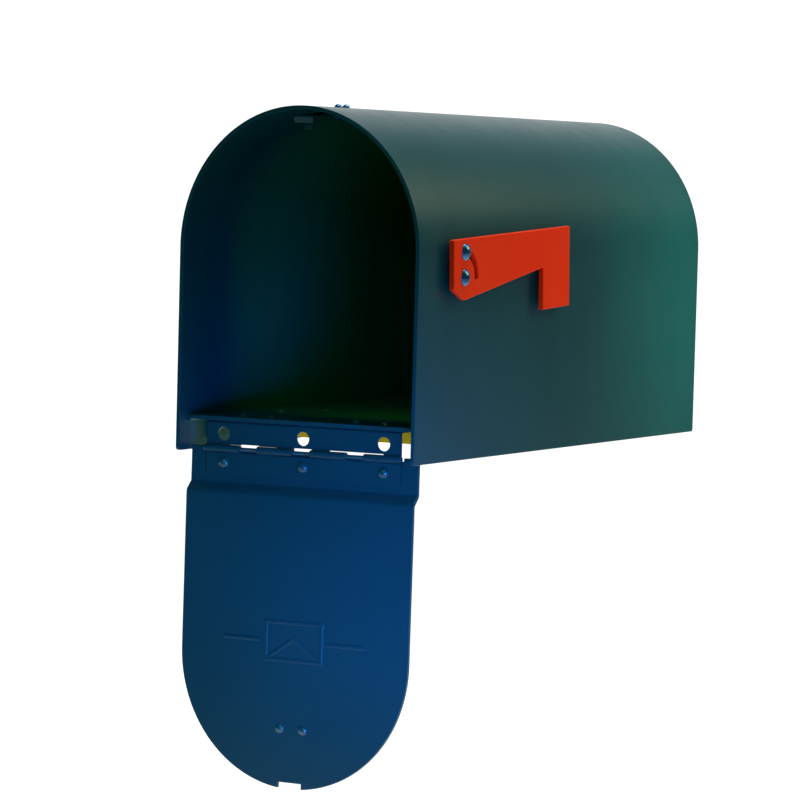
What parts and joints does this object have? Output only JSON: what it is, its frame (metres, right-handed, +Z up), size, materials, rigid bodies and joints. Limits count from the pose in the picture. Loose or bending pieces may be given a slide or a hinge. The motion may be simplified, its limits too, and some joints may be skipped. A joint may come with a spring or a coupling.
{
  "type": "mailbox",
  "caption": "Post-mounted mailbox with an arched steel body, a drop-down door on a riveted hinge, a spring catch and a pivoting signal flag.",
  "frame": {"origin": "centre of the four post bolt holes, on the underside of the mounting bracket", "axes": "+Y from the door to the back of the box, +Z up, +X to the box's right seen from the door, where the flag is"},
  "size_m": [0.2267, 0.546, 0.5411],
  "materials": {
    "body_paint": "semi-gloss teal blue powder coat",
    "flag_paint": "semi-gloss orange red powder coat",
    "zinc_steel": "blue-bright zinc plate",
    "dark_nylon": "moulded",
    "yellow_zinc": "yellow passivated zinc"
  },
  "bodies": {
    "box": {"body_shell": "body_paint", "rear_panel": "body_paint", "floor_pan": "body_paint", "hinge_fixed_leaf": "body_paint", "hinge_pin": "body_paint", "hinge_screws": "body_paint", "hinge_washers": "zinc_steel", "hinge_nuts": "zinc_steel", "latch_root": "body_paint", "latch_screws": "zinc_steel", "latch_nuts": "zinc_steel", "flag_pivot_bolt": "zinc_steel", "flag_stop_bolt": "zinc_steel", "flag_stop_sleeve": "dark_nylon", "flag_spacer": "zinc_steel", "flag_washer": "dark_nylon", "flag_nut_washers": "zinc_steel", "flag_nuts": "zinc_steel", "mounting_bracket": "yellow_zinc", "bracket_rivets": "body_paint"},
    "door": {"door_panel": "body_paint", "hinge_door_leaf": "body_paint", "door_rivets": "body_paint", "door_handle": "body_paint", "handle_rivets": "body_paint"},
    "flag": {"flag": "flag_paint"},
    "latch": {"latch_spring": "body_paint"}
  },
  "joints": [
    {"name": "door_swing", "type": "hinge", "parent": "box", "child": "door", "pos_m": [0, -0.2354, -0.0197], "axis": [-1, 0, 0], "range_deg": [0, 177.75]},
    {"name": "flag_turn", "type": "hinge", "parent": "box", "child": "flag", "pos_m": [0.114, -0.1884, 0.1222], "axis": [1, 0, 0], "range_deg": [0, 87]},
    {"name": "latch_flex", "type": "hinge", "parent": "box", "child": "latch", "pos_m": [0, -0.198, 0.2483], "axis": [-1, 0, 0], "range_deg": [0, 3.2], "stiffness_Nm_per_rad": 55}
  ]
}
